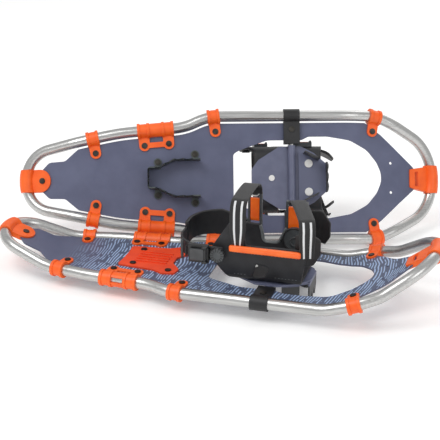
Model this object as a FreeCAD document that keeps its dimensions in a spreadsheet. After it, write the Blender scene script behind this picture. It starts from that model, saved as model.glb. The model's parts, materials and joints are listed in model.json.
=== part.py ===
import FreeCAD, Part
import Sketcher
import math
import os
import re

# A pair of aluminium-tube snowshoes: the right shoe stands flat on its crampons, and the
# left shoe stands behind it on the edge of its frame with its underside turned forward.
# Each shoe is built in its own frame: X to the toe, Y to the wearer's left, Z up, with
# the origin under the middle of the binding's pivot axle and level with the tube's underside.

V = FreeCAD.Vector
Placement = FreeCAD.Placement
Rotation = FreeCAD.Rotation
xAxis, yAxis, zAxis = V(1, 0, 0), V(0, 1, 0), V(0, 0, 1)

doc = FreeCAD.newDocument("Snowshoes")
sheet = doc.addObject("Spreadsheet::Sheet", "Sizes")

driving_sizes = {
    # frame tube, from the tail's end to the toe's end
    "tail_reach": 404, "toe_reach": 227, "frame_width": 200,
    "tube_radius": 8, "tube_wall": 1.2, "splice_gap": 2,
    "tail_fold_back": 88, "tail_fold_angle": 19, "toe_fold_back": 141, "toe_fold_angle": 17,
    "tip_fold_back": 69, "tip_fold_angle": 17, "fold_radius": 80, "tip_fold_radius": 60,
    "knee_lead": 62, "knee_radius": 350, "tail_taper": 11.5, "knee_taper": 4.5,
    "waist_ahead": 124, "waist_run": 34.5, "waist_step": 16, "waist_radius": 85,
    "shoulder_lead": 44, "shoulder_radius": 90, "toe_taper": 24,
    # deck sheet and its opening
    "deck_level": 8.5, "deck_thick": 2.5, "deck_gap": 2.5, "deck_tail_edge": 31,
    "opening_back": 87, "opening_front": 135, "opening_half": 61, "opening_back_half": 36,
    "opening_step": 5, "step_at": 25,
    # deck clips and rivets
    "clip_wall": 2.4, "clip_width": 18, "rib_height": 1.2, "rib_width": 4, "rivet_offset": 22,
    "ear_radius": 8, "rear_clip_at": 109, "double_clip_at": 202, "double_pitch": 36, "neck_width": 8,
    "waist_clip_ahead": 116, "toe_side_clip_at": 102, "rivet_radius": 2.2, "rivet_head": 4.4,
    "head_height": 1.4, "tail_clip_length": 50, "tail_clip_width": 34, "toe_clip_length": 46,
    "toe_clip_width": 42, "toe_slot_length": 22, "toe_slot_width": 7,
    # pivot straps and axle
    "pivot_strap_width": 24, "pivot_strap_wall": 2.4, "pivot_strap_inner": 50, "axle_radius": 3,
    "run_clearance": 0.06,
    # crampons and heel pad
    "crampon_drop": 18, "crampon_thick": 2, "heel_crampon_at": 175, "heel_ear_front": 31,
    "heel_ear_back": 30, "heel_front_half": 36, "heel_back_half": 24.5, "heel_blade_half": 27,
    "heel_bar_half": 15, "tooth_pitch": 14, "tooth_depth": 9, "pad_thick": 2.6, "pad_rib": 1.8,
    # foot plate and toe crampon
    "plate_back": 60, "plate_front": 53, "plate_half": 47, "plate_thick": 2.5, "barrel_wall": 2.4,
    "claw_front": 52, "claw_half": 22, "washer_at": 25, "washer_half": 21, "washer_radius": 6,
    # harness
    "harness_wall": 4, "harness_half": 51, "harness_back": 58, "harness_front": 48,
    "near_wall_height": 66, "near_lobe_height": 98, "far_wall_height": 60, "far_gap_floor": 36,
    "far_gap_back": 30, "far_gap_front": 6, "window_back": 22, "window_low": 20, "window_high": 44,
    "guard_front": 68, "guard_low": 46, "guard_high": 94, "guard_thick": 4,
    # straps, pull bar, buckles
    "strap_width": 22, "strap_thick": 2, "instep_near": -40, "instep_far": -44, "instep_rise": 131,
    "toe_near": 54, "toe_far": 16, "toe_rise": 111, "strap_foot": 62, "bar_length": 98,
    "bar_height": 9, "bar_thick": 6, "buckle_thick": 3, "instep_pin_height": 68,
    "toe_pin_height": 50, "pin_radius": 1.6, "instep_lever_width": 13, "instep_lever_length": 30,
    "toe_lever_width": 24, "toe_lever_length": 40, "lever_thick": 6, "disc_radius": 17,
    # heel loop and ratchet
    "heel_pin_back": 66, "heel_pin_height": 56, "heel_pin_radius": 3, "loop_gap": 6,
    "loop_back": 128, "loop_radius": 40, "cup_height": 38, "cup_thick": 5, "heel_strap_height": 20,
    "heel_strap_thick": 3, "ratchet_length": 28, "ratchet_height": 26, "ratchet_thick": 5,
    "ratchet_lever_length": 22, "knob_radius": 9.5,
    # how the pair stands
    "left_yaw": 17.45, "left_lean": 25, "left_ahead": -21, "left_behind": 185.5,
}
for row, (alias, value) in enumerate(driving_sizes.items(), start=1):
    cell = "A%d" % row
    sheet.set(cell, str(value))
    sheet.setAlias(cell, alias)
doc.recompute()


def size(expression):
    """Value of an expression in the sheet's own names."""
    return float(sheet.evalExpression(str(expression)))


def bind(thing, **expressions):
    """Tie a thing's properties to the sheet."""
    for key, expression in expressions.items():
        linked = re.sub(r"[a-z]+(_[a-z]+)+", lambda found: "Sizes." + found.group(0), str(expression))
        thing.setExpression(key, linked)
    return thing


def place(thing, x=0, y=0, z=0, turn=None):
    thing.Placement = Placement(V(size(x), size(y), size(z)), turn or Rotation())
    return thing


def block(name, length, width, height, x, y, z, turn=None):
    """Box with its low corner at x, y, z."""
    box = doc.addObject("Part::Box", name)
    bind(box, Length=length, Width=width, Height=height)
    return place(box, x, y, z, turn)


def rod(name, radius, height, x, y, z, axis=zAxis):
    """Cylinder that starts at x, y, z and runs along an axis."""
    cylinder = doc.addObject("Part::Cylinder", name)
    bind(cylinder, Radius=radius, Height=height)
    return place(cylinder, x, y, z, Rotation(zAxis, axis))


def joined(name, things):
    fuse = doc.addObject("Part::MultiFuse", name)
    fuse.Shapes = things
    return fuse


def cut(name, base, tool):
    result = doc.addObject("Part::Cut", name)
    result.Base, result.Tool = base, tool
    return result


def common(name, base, tool):
    result = doc.addObject("Part::Common", name)
    result.Base, result.Tool = base, tool
    return result


def group(name, things):
    """Several separate solids in one piece's node."""
    compound = doc.addObject("Part::Compound", name)
    compound.Links = things
    return compound


def across_middle(thing):
    """Mirror image of a thing on the other side of the shoe."""
    other = doc.addObject("Part::Mirroring", thing.Name + "_other_side")
    other.Source = thing
    other.Normal = yAxis
    return other


def both_sides(name, thing):
    return group(name, [thing, across_middle(thing)])


def origin_plane(body, role):
    return [feature for feature in body.Origin.OriginFeatures if feature.Role == role][0]


def plate(name, outline, thickness, corner=None, curve=None):
    """Body padded up from a sketched outline; its slight corners can be rounded wider than the rest."""
    body = doc.addObject("PartDesign::Body", name)
    sketch = body.newObject("Sketcher::SketchObject", name + "_sketch")
    sketch.AttachmentSupport = [(origin_plane(body, "XY_Plane"), "")]
    sketch.MapMode = "FlatFace"
    corners = [V(size(x), size(y), 0) for x, y in outline]
    for start, end in zip(corners, corners[1:] + corners[:1]):
        sketch.addGeometry(Part.LineSegment(start, end), False)
    for index in range(len(corners)):
        sketch.addConstraint(Sketcher.Constraint("Coincident", index, 2, (index + 1) % len(corners), 1))
    for index, (x, y) in enumerate(outline):
        for kind, expression, value in (("DistanceX", x, corners[index].x),
                                        ("DistanceY", y, corners[index].y)):
            number = sketch.addConstraint(Sketcher.Constraint(kind, -1, 1, index, 1, value))
            bind(sketch, **{"Constraints[%d]" % number: expression})
    pad = body.newObject("PartDesign::Pad", name + "_pad")
    pad.Profile = sketch
    bind(pad, Length=thickness)
    slight = set()
    if curve:
        for index, point in enumerate(corners):
            before, after = point - corners[index - 1], corners[(index + 1) % len(corners)] - point
            if before.getAngle(after) < math.radians(25):
                slight.add((round(point.x, 3), round(point.y, 3)))
    last = pad
    for radius, wide in ((curve, True), (corner, False)):
        if radius:
            doc.recompute()
            edges = []
            for number, edge in enumerate(last.Shape.Edges):
                foot = edge.Vertexes[0].Point
                upward = abs(edge.tangentAt(edge.FirstParameter).z) > 0.99
                sharp = any(abs(foot.x - point.x) + abs(foot.y - point.y) < 0.01 for point in corners)
                if upward and sharp and ((round(foot.x, 3), round(foot.y, 3)) in slight) == wide:
                    edges.append("Edge%d" % (number + 1))
            fillet = body.newObject("PartDesign::Fillet", name + ("_curves" if wide else "_corners"))
            fillet.Base = (last, edges)
            bind(fillet, Radius=radius)
            last = fillet
    return body


def upright(body, y):
    """Turn a plate drawn in X and Z so that it is padded from y towards -Y."""
    return place(body, 0, y, 0, Rotation(xAxis, 90))


def mirrored_outline(half):
    """Closed outline from its points on the +Y side, listed from the back to the front."""
    other = [(x, "-(%s)" % y) for x, y in reversed(half)]
    return half + other


def rounded_wire(points, radii):
    """Straight runs joined by tangent arcs; radii are for the inner points."""
    edges = []
    start = points[0]
    for index in range(1, len(points) - 1):
        before, corner, after = points[index - 1], points[index], points[index + 1]
        inward = (corner - before).normalize()
        outward = (after - corner).normalize()
        turn = inward.getAngle(outward)
        tangent = radii[index - 1] * math.tan(turn / 2)
        arc_start = corner - inward * tangent
        arc_end = corner + outward * tangent
        bisector = (outward - inward).normalize()
        middle = corner + bisector * (radii[index - 1] / math.cos(turn / 2) - radii[index - 1])
        if (arc_start - start).Length > 0.001:
            edges.append(Part.makeLine(start, arc_start))
        edges.append(Part.Arc(arc_start, middle, arc_end).toShape())
        start = arc_end
    edges.append(Part.makeLine(start, points[-1]))
    return Part.Wire(edges)


def route(name, points, radii):
    line = doc.addObject("Part::Feature", name)
    line.Shape = rounded_wire(points, radii)
    return line


def sweep(name, section, line):
    swept = doc.addObject("Part::Sweep", name)
    swept.Sections = [section]
    swept.Spine = (line, ["Edge%d" % (number + 1) for number in range(len(line.Shape.Edges))])
    swept.Solid = True
    return swept


def tube(name, radius, line):
    """Round bar along a line."""
    section = doc.addObject("Part::Circle", name + "_section")
    bind(section, Radius=radius)
    first = line.Shape.OrderedEdges[0]
    start = first.valueAt(first.FirstParameter)
    section.Placement = Placement(start, Rotation(zAxis, first.tangentAt(first.FirstParameter)))
    return sweep(name, section, line)


def ribbon(name, line, across, width, thickness):
    """Flat strip along a flat line, as wide as given in the across direction."""
    section = doc.addObject("Part::Plane", name + "_section")
    bind(section, Length=width, Width=thickness)
    first = line.Shape.OrderedEdges[0]
    start = first.valueAt(first.FirstParameter)
    along = first.tangentAt(first.FirstParameter)
    through = along.cross(across)
    corner = start - across * (size(width) / 2) - through * (size(thickness) / 2)
    section.Placement = Placement(corner, Rotation(across, through, along, "ZXY"))
    return sweep(name, section, line)


def solved_rail():
    """Corner points of the frame's centreline from tail to toe on the +Y side, with their radii."""
    radius = size("tube_radius")
    half = size("frame_width") / 2 - radius
    tail_fold, tail_angle = size("tail_fold_back - tail_reach"), math.radians(size("tail_fold_angle"))
    toe_fold, toe_angle = size("toe_reach - toe_fold_back"), math.radians(size("toe_fold_angle"))
    tip_angle = toe_angle + math.radians(size("tip_fold_angle"))
    tail_slope = math.tan(math.radians(size("tail_taper")))
    knee_slope = math.tan(math.radians(size("knee_taper")))
    toe_slope = math.tan(math.radians(size("toe_taper")))
    # distances along the flat outline, before its two ends are bent up
    tip_fold = toe_fold + size("toe_fold_back - tip_fold_back") / math.cos(toe_angle)
    toe = tip_fold + (size("tip_fold_back") - radius) / math.cos(tip_angle)
    tail = tail_fold - (size("tail_fold_back") - radius) / math.cos(tail_angle)

    def folded(along, across):
        """Point of the flat outline once its tail, toe and tip are bent up."""
        first_run = min(max(along - toe_fold, 0), tip_fold - toe_fold)
        second_run = max(along - tip_fold, 0)
        tail_run = max(tail_fold - along, 0)
        flat = min(max(along, tail_fold), toe_fold)
        x = (flat + first_run * math.cos(toe_angle) + second_run * math.cos(tip_angle)
             - tail_run * math.cos(tail_angle))
        rise = (first_run * math.sin(toe_angle) + second_run * math.sin(tip_angle)
                + tail_run * math.sin(tail_angle))
        return V(x, across, radius + rise)

    knee = tail_fold + size("knee_lead")
    waist_front = -size("waist_ahead")
    waist_back = waist_front - size("waist_run")
    waist_back_half = half - size("waist_step")
    knee_half = waist_back_half - (waist_back - knee) * knee_slope
    tail_half = knee_half - (knee - tail) * tail_slope
    fold_half = knee_half - (knee - tail_fold) * tail_slope
    shoulder = toe_fold + size("shoulder_lead")
    tip_half = half - (tip_fold - shoulder) * toe_slope
    toe_half = half - (toe - shoulder) * toe_slope
    gap_half = size("splice_gap") / 2
    straight = 2 * gap_half
    tail_turn = math.radians(90 - size("tail_taper"))
    toe_turn = math.radians(90 - size("toe_taper"))
    corners = [
        (tail, tail_half, (tail_half - straight) / math.tan(tail_turn / 2)),
        (tail_fold, fold_half, size("fold_radius")),
        (knee, knee_half, size("knee_radius")),
        (waist_back, waist_back_half, size("waist_radius")),
        (waist_front, half, size("waist_radius")),
        (toe_fold, half, size("fold_radius")),
        (shoulder, half, size("shoulder_radius")),
        (tip_fold, tip_half, size("tip_fold_radius")),
        (toe, toe_half, (toe_half - straight) / math.tan(toe_turn / 2)),
    ]
    points = [folded(along, across) for along, across, bend in corners]
    radii = [bend for along, across, bend in corners]
    return folded(tail, gap_half), points, radii


def across_mirror(point):
    return V(point.x, -point.y, point.z)


def rail_seat(line, x):
    """Frame on the +Y rail at x: X along the rail, Y outward, Z off the deck."""
    for edge in line.Shape.OrderedEdges:
        low, high = edge.FirstParameter, edge.LastParameter
        first, last = edge.valueAt(low), edge.valueAt(high)
        if min(first.y, last.y) < 0 or (first.x - x) * (last.x - x) > 0:
            continue
        for _ in range(40):
            middle = (low + high) / 2
            if (edge.valueAt(middle).x - x) * (first.x - x) > 0:
                low = middle
            else:
                high = middle
        along = edge.tangentAt(low)
        up = along.cross(yAxis).normalize()
        return Placement(edge.valueAt(low), Rotation(along, up.cross(along), up, "XYZ"))
    raise ValueError("no rail at %g" % x)


def end_seat(corner, toe_end):
    """The same frame at the middle of the tail or of the toe, from the rail's corner there."""
    angle = size("toe_fold_angle + tip_fold_angle") if toe_end else -size("tail_fold_angle")
    outward = Rotation(yAxis, -angle).multVec(xAxis if toe_end else -xAxis)
    up = Rotation(yAxis, -angle).multVec(zAxis)
    return Placement(V(corner.x, 0, corner.z), Rotation(outward.cross(up), outward, up, "XYZ"))


def seated(things, seat):
    for thing in things:
        thing.Placement = seat.multiply(thing.Placement)
    return things


tab_low = "deck_level - tube_radius - clip_wall"
tab_height = "deck_thick + 2 * clip_wall"
axle_half = "opening_half - opening_step - 0.5"


class Shoe:
    """Builds every piece of one shoe and keeps its nodes by name."""

    def __init__(self, prefix):
        self.prefix = prefix
        self.nodes = {}
        self.rivets = []
        self.shanks = []

    def name(self, text):
        return self.prefix + "_" + text

    def keep(self, text, thing):
        thing.Label = self.name(text)
        self.nodes[text] = thing
        return thing

    def rivet(self, name, x, y, z, grip, radius, head, seat=None):
        """Headed rivet through a stack as thick as its grip; z is the stack's low face."""
        body = doc.addObject("PartDesign::Body", self.name(name))
        sketch = body.newObject("Sketcher::SketchObject", name + "_sketch")
        sketch.AttachmentSupport = [(origin_plane(body, "XZ_Plane"), "")]
        sketch.MapMode = "FlatFace"
        outline = [("0", "-head_height"), (head, "-head_height"), (head, "0"), (radius, "0"),
                   (radius, grip), (head, grip), (head, "%s + head_height" % grip),
                   ("0", "%s + head_height" % grip)]
        corners = [V(size(x_at), size(y_at), 0) for x_at, y_at in outline]
        for start, end in zip(corners, corners[1:] + corners[:1]):
            sketch.addGeometry(Part.LineSegment(start, end), False)
        for index in range(len(corners)):
            sketch.addConstraint(Sketcher.Constraint("Coincident", index, 2, (index + 1) % len(corners), 1))
        for index, (x_at, y_at) in enumerate(outline):
            for kind, text, value in (("DistanceX", x_at, corners[index].x),
                                      ("DistanceY", y_at, corners[index].y)):
                number = sketch.addConstraint(Sketcher.Constraint(kind, -1, 1, index, 1, value))
                bind(sketch, **{"Constraints[%d]" % number: text})
        spin = body.newObject("PartDesign::Revolution", name + "_spin")
        spin.Profile = sketch
        spin.ReferenceAxis = (sketch, ["V_Axis"])
        spin.Angle = 360
        place(body, x, y, z)
        shank = rod(name + "_hole", radius, "%s + 2" % grip, x, y, "%s - 1" % z)
        if seat:
            seated([body, shank], seat)
        return body, shank

    def build_frame(self):
        tail_end, corners, radii = solved_rail()
        other = [across_mirror(point) for point in reversed(corners)]
        points = [tail_end] + corners + other + [across_mirror(tail_end)]
        self.rail = route(self.name("rail_line"), points, radii + radii[::-1])
        self.bar = tube(self.name("frame_bar"), "tube_radius", self.rail)
        bore = tube(self.name("frame_bore"), "tube_radius - tube_wall", self.rail)
        self.keep("frame_tube", cut(self.name("frame_tube"), self.bar, bore))
        self.wrap = tube(self.name("clip_wrap"), "tube_radius + clip_wall", self.rail)
        self.margin = tube(self.name("deck_margin"), "tube_radius + deck_gap", self.rail)
        self.corners = corners

    def build_deck_blank(self):
        """Bent sheet inside the rails, with its binding opening."""
        middle = "deck_level + deck_thick / 2 - tube_radius"
        folds = [self.corners[index] for index in (0, 1, 5, 7, 8)]
        spine = [V(point.x, 0, point.z + size(middle)) for point in folds]
        bends = [size("%s - (%s)" % (bend, middle)) for bend in ("fold_radius", "fold_radius",
                                                                 "tip_fold_radius")]
        line = route(self.name("deck_line"), spine, bends)
        sheet_slab = ribbon(self.name("deck_slab"), line, yAxis, "frame_width", "deck_thick")
        tail = "-tail_reach + deck_tail_edge"
        side = [(str(point.x), str(point.y)) for point in self.corners[2:6]]
        half = [(tail, "tail_clip_width / 2 - 2"), ("%s + 12" % tail, "tail_clip_width / 2 + 10"),
                ("%s + 36" % tail, "tail_clip_width / 2 + 11"), ("%s + 62" % tail, "frame_width / 4")]
        half += side
        half += [("toe_reach - 128", "frame_width / 2 - tube_radius - 2"),
                 ("toe_reach - 92", "frame_width / 2 - 36"),
                 ("toe_reach - 66", "frame_width / 2 - 60"), ("toe_reach - 38", "toe_clip_width / 2 - 5")]
        outline = plate(self.name("deck_outline"), mirrored_outline(half), "120", 9)
        place(outline, 0, 0, -5)
        sheet_shape = common(self.name("deck_sheet"), sheet_slab, outline)
        back, front = "-opening_back", "opening_front"
        narrow = "opening_half - opening_step"
        opening_half = [(back, "opening_back_half"), ("%s + 8" % back, "opening_back_half + 5"),
                        ("%s + 50" % back, narrow), ("step_at - 10", narrow),
                        ("step_at", "opening_half"), ("%s - 82" % front, "opening_half"),
                        ("%s - 48" % front, "opening_half - 6"), ("%s - 22" % front, "opening_half - 20"),
                        ("%s - 7" % front, "opening_half - 38"), (front, "opening_half - 54")]
        opening = plate(self.name("deck_opening"), mirrored_outline(opening_half), "120", 7, 30)
        place(opening, 0, 0, -5)
        tools = joined(self.name("deck_cutters"), [self.margin, opening])
        self.deck_blank = cut(self.name("deck_blank"), sheet_shape, tools)

    def clip(self, name, seat, width, stations, ear, offset, rib, extras=(), holes=()):
        """Clip moulded round the rail with two tabs that hold the deck, and its rivets."""
        reach = "tube_radius + clip_wall + rib_height + 1"
        region = block(name + "_reach", width, "2 * (%s)" % reach, "2 * (%s)" % reach,
                       "-(%s) / 2" % width, "-(%s)" % reach, "-(%s)" % reach)
        seated([region], seat)
        things = [common(name + "_ring", self.wrap, region)]
        tabs = list(extras)
        for station in stations:
            tabs.append(block(name + "_tab", "2 * %s" % ear, offset, tab_height,
                              "%s - %s" % (station, ear), "-(%s)" % offset, tab_low))
            tabs.append(rod(name + "_ear", ear, tab_height, station, "-(%s)" % offset, tab_low))
            if rib:
                for edge in ("-clip_width / 2", "clip_width / 2 - rib_width"):
                    tabs.append(rod(name + "_rib", "tube_radius + clip_wall + rib_height", "rib_width",
                                    "%s + %s" % (station, edge), 0, 0, xAxis))
        seated(tabs, seat)
        fasteners = []
        for station in stations:
            rivet_at = "-rivet_offset" if rib else "-(%s) - 4" % offset
            body, shank = self.rivet(name + "_rivet", station, rivet_at, tab_low, tab_height,
                                     "rivet_radius", "rivet_head", seat)
            fasteners.append(body)
            self.shanks.append(shank)
        solid = joined(name + "_solid", things + tabs)
        tool = joined(name + "_tools",
                      [self.bar, self.deck_blank] + self.shanks[-len(stations):] + list(holes))
        return cut(name, solid, tool), fasteners

    def build_clips(self):
        sites = [
            ("rear_clips", "-tail_reach + rear_clip_at", ["0"]),
            ("double_clips", "-tail_reach + double_clip_at", ["-double_pitch / 2", "double_pitch / 2"]),
            ("waist_clips", "-waist_clip_ahead", ["0"]),
            ("toe_side_clips", "toe_reach - toe_side_clip_at", ["0"]),
        ]
        for text, x, stations in sites:
            name = self.name(text)
            seat = rail_seat(self.rail, size(x))
            width, neck, slit = "clip_width", [], []
            if len(stations) > 1:
                width = "double_pitch + clip_width"
                neck = [block(name + "_neck", "double_pitch", "neck_width", tab_height,
                              "-double_pitch / 2", "-rivet_offset - neck_width / 2", tab_low)]
                slit = [block(name + "_slit", "double_pitch - clip_width", 20, 7,
                              "-(double_pitch - clip_width) / 2", 0, -1)]
                seated(slit, seat)
            near, fasteners = self.clip(name + "_one", seat, width, stations, "ear_radius",
                                        "rivet_offset", True, neck, slit)
            self.keep(text, both_sides(name, near))
            for fastener in fasteners:
                self.rivets += [fastener, across_middle(fastener)]

    def build_end_clips(self):
        name = self.name("tail_clip")
        seat = end_seat(self.corners[0], False)
        splice = rod(name + "_splice", "tube_radius + clip_wall", "splice_gap + 4", "-splice_gap / 2 - 2",
                     0, 0, xAxis)
        tail, fasteners = self.clip(name, seat, "tail_clip_width", ["0"], "tail_clip_width / 2",
                                    "tail_clip_length - tube_radius - clip_wall - tail_clip_width / 2",
                                    False, [splice])
        self.keep("tail_clip", tail)
        self.rivets += fasteners
        name = self.name("toe_clip")
        seat = end_seat(self.corners[-1], True)
        inner = "-(toe_clip_length)"
        outline = [("-toe_clip_width / 2", "0"), ("-toe_clip_width / 2 + 7", inner),
                   ("toe_clip_width / 2 - 7", inner), ("toe_clip_width / 2", "0")]
        tab = plate(name + "_tab", outline, tab_height, 3)
        place(tab, 0, 0, tab_low)
        slot = block(name + "_slot", "toe_slot_length", "toe_slot_width", 30, "-toe_slot_length / 2",
                     "-toe_clip_length + 10", -15)
        seated([slot], seat)
        toe, _ = self.clip(name, seat, "toe_clip_width", [], "0", "0", False, [tab], [slot])
        self.keep("toe_clip", toe)
        self.toe_slot = slot

    def build_deck(self):
        self.shanks += self.pad_shanks + self.strap_shanks
        laces = [rod(self.name("lace_hole"), 2, 60, "toe_reach - 77", y, 0) for y in (22, -22)]
        others = [across_middle(shank) for shank in self.shanks]
        holes = joined(self.name("deck_holes"), self.shanks + others + laces + [self.toe_slot])
        self.keep("deck", cut(self.name("deck"), self.deck_blank, holes))

    def build_pivot_straps(self):
        """Moulded strap round each rail that carries one end of the axle."""
        name = self.name("pivot_strap")
        half = "frame_width / 2 - tube_radius"
        width = "pivot_strap_width"
        ring = rod(name + "_ring", "tube_radius + pivot_strap_wall", width, "-%s / 2" % width, half,
                   "tube_radius", xAxis)
        arm = block(name + "_arm", width, "%s - pivot_strap_inner" % half, "2 * axle_radius + 5",
                    "-%s / 2" % width, "pivot_strap_inner", "tube_radius - axle_radius - 2.5")
        bore = rod(name + "_bore", "axle_radius", "%s - pivot_strap_inner + 1" % axle_half, 0,
                   "pivot_strap_inner - 1", "tube_radius", yAxis)
        solid = joined(name + "_solid", [ring, arm])
        rivet, shank = self.rivet(name + "_rivet", 0, "%s - 20" % half, "tube_radius - axle_radius - 2.5",
                                  "2 * axle_radius + 5", "rivet_radius", "rivet_head")
        self.strap_shanks = [shank]
        one = cut(name + "_one", solid, joined(name + "_tools", [self.bar, self.deck_blank, bore, shank]))
        self.keep("pivot_straps", both_sides(name + "s", one))
        self.rivets += [rivet, across_middle(rivet)]
        axle = rod(self.name("axle_bar"), "axle_radius", "2 * (%s)" % axle_half, 0, "-(%s)" % axle_half,
                   "tube_radius", yAxis)
        self.keep("pivot_axle", axle)

    def build_heel_crampon(self):
        """Bent blade with a toothed cross-bar under the heel, held by four rivets and the pad."""
        name = self.name("heel_crampon")
        top = size("deck_level")
        front = "-(heel_crampon_at - heel_ear_front - 8)"
        back = "-(heel_crampon_at + heel_ear_back + 8)"
        depth = "deck_level + crampon_drop"
        plan = [V(size(front), size("heel_blade_half"), 0),
                V(size("-heel_crampon_at"), size("heel_blade_half"), 0),
                V(size("%s + 14" % back), size("heel_bar_half"), 0), V(size(back), size("heel_bar_half"),
                                                                       0)]
        plan = [V(point.x, point.y, top - size(depth) / 2) for point in plan]
        line = route(name + "_line", plan + [across_mirror(point) for point in reversed(plan)],
                     [12, 6, 4, 4, 6, 12])
        blade = ribbon(name + "_blade", line, zAxis, depth, "crampon_thick")
        cuts = []
        for index in range(4):
            x = "%s + %d * tooth_pitch - 4" % (back, index + 1)
            outline = [("0", "0"), ("tooth_pitch", "0"), ("tooth_pitch / 2 - 2", "tooth_depth * 1.6")]
            notch = upright(plate(name + "_notch", outline, "90"), 45)
            notch.Placement.Base = V(size(x), 45, -size("crampon_drop") - 0.5)
            cuts.append(notch)
        for side in (-1, 0, 1):
            notch = plate(name + "_bar_notch", [("-5", "0"), ("5", "0"), ("0", "tooth_depth * 1.3")], "12")
            notch.Placement = Placement(V(size(back) - 6, side * 9, -size("crampon_drop") - 0.5),
                                        Rotation(yAxis, zAxis, xAxis, "ZXY"))
            cuts.append(notch)
        ears, ear_holes = [], []
        self.pad_shanks = []
        low, grip = "deck_level - crampon_thick", "deck_thick + pad_thick + crampon_thick"
        for x, ear_half, blade_half in (
                ("-heel_crampon_at + heel_ear_front", "heel_front_half", "heel_blade_half"),
                ("-heel_crampon_at - heel_ear_back + 6", "heel_back_half", "heel_bar_half")):
            arm = "%s - %s + 1" % (ear_half, blade_half)
            for y, arm_low in ((ear_half, "%s - 1" % blade_half), ("-" + ear_half, "-" + ear_half)):
                ears.append(rod(name + "_ear", 6, "crampon_thick", x, y, low))
                ears.append(block(name + "_ear_arm", 9, arm, "crampon_thick", "%s - 4.5" % x, arm_low, low))
            body, shank = self.rivet(name + "_rivet", x, ear_half, low, grip, "rivet_radius", "rivet_head")
            self.rivets += [body, across_middle(body)]
            self.pad_shanks.append(shank)
            ear_holes += [shank, across_middle(shank)]
        solid = joined(name + "_solid", [blade] + ears)
        self.keep("heel_crampon", cut(name, solid, joined(name + "_cuts", cuts + ear_holes)))
        name = self.name("heel_pad")
        x = "-heel_crampon_at"
        half = [("%s - 42" % x, "11"), ("%s - 44" % x, "heel_back_half + 8"),
                ("%s - 26" % x, "heel_back_half + 10"),
                ("%s + 10" % x, "heel_front_half + 2"), ("%s + 24" % x, "heel_front_half + 10"),
                ("%s + 42" % x, "heel_front_half + 7"), ("%s + 44" % x,
                                                         "heel_front_half - 8"), ("%s + 30" % x, "10")]
        base = plate(name + "_base", mirrored_outline(half), "pad_thick", 4)
        place(base, 0, 0, "deck_level + deck_thick")
        ribs = [block(name + "_rib", 46, 2.4, "pad_rib", "%s - 24" % x, "%d - 1.2" % y,
                      "deck_level + deck_thick + pad_thick") for y in (-16, -8, 0, 8, 16)]
        solid = joined(name + "_solid", [base] + ribs)
        self.keep("heel_pad", cut(name, solid, joined(name + "_holes", ear_holes)))

    def build_foot_plate(self):
        """Plate under the ball of the foot, rolled round the axle, with the claws below it."""
        name = self.name("foot_plate")
        level = "tube_radius + axle_radius + barrel_wall - 1"
        half = [("-plate_back", "13"), ("-plate_back + 10", "27"), ("-18", "plate_half"),
                ("14", "plate_half"),
                ("plate_front - 20", "plate_half - 10"), ("plate_front - 4",
                                                          "plate_half - 24"), ("plate_front", "12")]
        sheet_metal = plate(name + "_sheet", mirrored_outline(half), "plate_thick", 5)
        place(sheet_metal, 0, 0, level)
        barrel_half = "pivot_strap_inner - 2"
        barrel = rod(name + "_barrel", "axle_radius + barrel_wall", "2 * (%s)" % barrel_half, 0,
                     "-(%s)" % barrel_half, "tube_radius", yAxis)
        bore = rod(name + "_bore", "axle_radius + run_clearance", "2 * pivot_strap_inner", 0,
                   "-pivot_strap_inner", "tube_radius", yAxis)
        shanks = []
        fasteners = []
        sole = "plate_thick + harness_wall - head_height"
        grip = "%s + crampon_thick" % sole
        for side in (1, -1):
            body, shank = self.rivet(name + "_rivet", "washer_at", "%d * washer_half" % side,
                                     "%s - crampon_thick" % level, grip, "rivet_radius", "washer_radius")
            fasteners.append(body)
            shanks.append(shank)
        body, shank = self.rivet(name + "_screw", "-plate_back / 2", 0, level, sole, "rivet_radius",
                                 "rivet_head")
        fasteners.append(body)
        shanks.append(shank)
        solid = joined(name + "_solid", [sheet_metal, barrel])
        self.keep("foot_plate", cut(name, solid, joined(name + "_holes", [bore] + shanks)))
        self.keep("binding_rivets", group(self.name("binding_rivets"), fasteners))
        name = self.name("toe_crampon")
        base_half = [("10", "claw_half + 16"), ("plate_front - 20", "claw_half + 12"),
                     ("claw_front - 2", "claw_half")]
        base = plate(name + "_base", mirrored_outline(base_half), "crampon_thick")
        place(base, 0, 0, "%s - crampon_thick" % level)
        depth = "%s + crampon_drop" % level
        front = block(name + "_front", "crampon_thick", "2 * claw_half", depth,
                      "claw_front - crampon_thick",
                      "-claw_half", "-crampon_drop")
        claws = []
        for side in (1, -1):
            start = V(size("plate_front - 22"), side * size("claw_half + 14"), 0)
            end = V(size("claw_front + 1"), side * size("claw_half + 3"), 0)
            wing = block(name + "_wing", (end - start).Length, "crampon_thick", "%s + 4" % depth, 0, 0, 0)
            wing.Placement = Placement(V(start.x - 14, start.y, -size("crampon_drop") - 0),
                                       Rotation(xAxis, (end - start).normalize()))
            claws.append(wing)
        trim = block(name + "_trim", 140, 140, 20, -40, -70, level)
        notches = []
        for y in (-22, -7.5, 7.5, 22):
            notch = plate(name + "_notch", [("-5.5", "0"), ("5.5", "0"), ("0", "tooth_depth * 1.5")], "90")
            notch.Placement = Placement(V(-6, y, -size("crampon_drop") - 0.5),
                                        Rotation(yAxis, zAxis, xAxis, "ZXY"))
            notches.append(notch)
        solid = joined(name + "_solid", [base, front] + claws)
        self.keep("toe_crampon", cut(name, solid, joined(name + "_cuts", [trim] + notches + shanks[:2])))
        self.plate_top = "%s + plate_thick" % level
        self.sole_rivets = fasteners

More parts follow.
